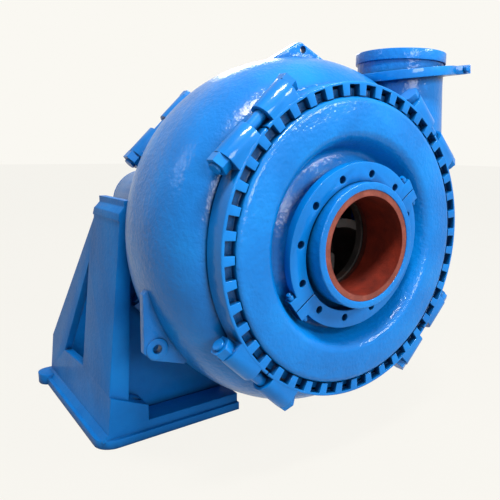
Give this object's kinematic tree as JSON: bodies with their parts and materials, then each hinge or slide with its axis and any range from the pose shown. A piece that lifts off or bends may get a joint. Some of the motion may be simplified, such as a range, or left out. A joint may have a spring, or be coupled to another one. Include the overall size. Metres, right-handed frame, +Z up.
{
  "type": "slurry pump",
  "caption": "Heavy horizontal slurry pump with split clamp rings, top discharge, loose split flanges, gland-packed shaft and sliding bearing assembly on a pedestal.",
  "frame": {"origin": "middle of the four foundation bolt holes, on the floor face of the pedestal", "axes": "+Z up; the suction faces -Y and the shaft's drive end points to +Y; the discharge is on the +X side and points up"},
  "size_m": [1.1577, 1.668, 1.147],
  "materials": {
    "blue_enamel": "gloss",
    "liner_red": "matte",
    "white_iron": "matte",
    "machined_steel": "satin",
    "brass": "satin",
    "packing": "matte",
    "seal_rubber": "matte"
  },
  "bodies": {
    "root": {"adjusting_screw": "machined_steel", "back_liner": "white_iron", "casing": "blue_enamel", "clamp_bolts": "blue_enamel", "clamp_nuts": "blue_enamel", "frame_plate": "blue_enamel", "frame_plate_nuts": "machined_steel", "frame_plate_studs": "machined_steel", "front_casing_seal": "seal_rubber", "front_clamp_segment_1": "blue_enamel", "front_clamp_segment_2": "blue_enamel", "front_clamp_segment_3": "blue_enamel", "front_clamp_segment_4": "blue_enamel", "gland_studs": "machined_steel", "housing_clamp_bolts": "machined_steel", "lantern_ring": "brass", "packing_rings": "packing", "pedestal": "blue_enamel", "rear_casing_seal": "seal_rubber", "rear_clamp_segment_1": "blue_enamel", "rear_clamp_segment_2": "blue_enamel", "rear_clamp_segment_3": "blue_enamel", "rear_clamp_segment_4": "blue_enamel", "stuffing_box": "blue_enamel", "suction_cover": "blue_enamel", "throat_bush": "liner_red", "throat_bush_seal": "seal_rubber"},
    "bearing_assembly": {"bearing_housing": "blue_enamel", "front_bearing_cover": "blue_enamel", "rear_bearing_cover": "blue_enamel", "cover_shims": "machined_steel", "cover_bolts": "machined_steel", "front_outer_race": "machined_steel", "rear_outer_race": "machined_steel", "grease_nipples": "brass", "adjusting_nuts": "machined_steel"},
    "rotor": {"shaft": "machined_steel", "impeller": "white_iron", "impeller_seal": "seal_rubber", "shaft_sleeve": "machined_steel", "front_labyrinth": "machined_steel", "rear_labyrinth": "machined_steel", "bearing_locknut": "machined_steel", "front_inner_race": "machined_steel", "rear_inner_race": "machined_steel", "drive_key": "machined_steel"},
    "front_rollers": {"front_roller_set": "machined_steel"},
    "rear_rollers": {"rear_roller_set": "machined_steel"},
    "gland": {"gland_upper": "blue_enamel", "gland_lower": "blue_enamel", "gland_nuts": "machined_steel"},
    "suction_flange": {"suction_flange_upper": "blue_enamel", "suction_flange_lower": "blue_enamel", "suction_flange_bolts": "blue_enamel"},
    "discharge_flange": {"discharge_flange_left": "blue_enamel", "discharge_flange_right": "blue_enamel", "discharge_flange_bolts": "blue_enamel"}
  },
  "joints": [
    {"name": "bearing_slide", "type": "slide", "parent": "root", "child": "bearing_assembly", "axis": [0, 1, 0], "range_m": [-0.002, 0.006]},
    {"name": "shaft_spin", "type": "hinge", "parent": "bearing_assembly", "child": "rotor", "pos_m": [0, 0, 0.61], "axis": [0, 1, 0], "continuous": true},
    {"name": "front_roller_spin", "type": "hinge", "parent": "bearing_assembly", "child": "front_rollers", "pos_m": [0, -0.06, 0.61], "axis": [0, 1, 0], "continuous": true},
    {"name": "rear_roller_spin", "type": "hinge", "parent": "bearing_assembly", "child": "rear_rollers", "pos_m": [0, 0.52, 0.61], "axis": [0, 1, 0], "continuous": true},
    {"name": "gland_slide", "type": "slide", "parent": "root", "child": "gland", "axis": [0, 1, 0], "range_m": [0, 0.015]},
    {"name": "suction_flange_turn", "type": "hinge", "parent": "root", "child": "suction_flange", "pos_m": [0, -0.762, 0.603], "axis": [0, -0.9962, -0.0872], "continuous": true},
    {"name": "discharge_flange_turn", "type": "hinge", "parent": "root", "child": "discharge_flange", "pos_m": [0.394, -0.535, 1.084], "axis": [-0.1305, 0, 0.9914], "range_deg": [-30, 0]}
  ],
  "couplings": [
    {"joint": "front_roller_spin", "follows": "shaft_spin", "ratio": 0.4319},
    {"joint": "rear_roller_spin", "follows": "shaft_spin", "ratio": 0.4319}
  ]
}
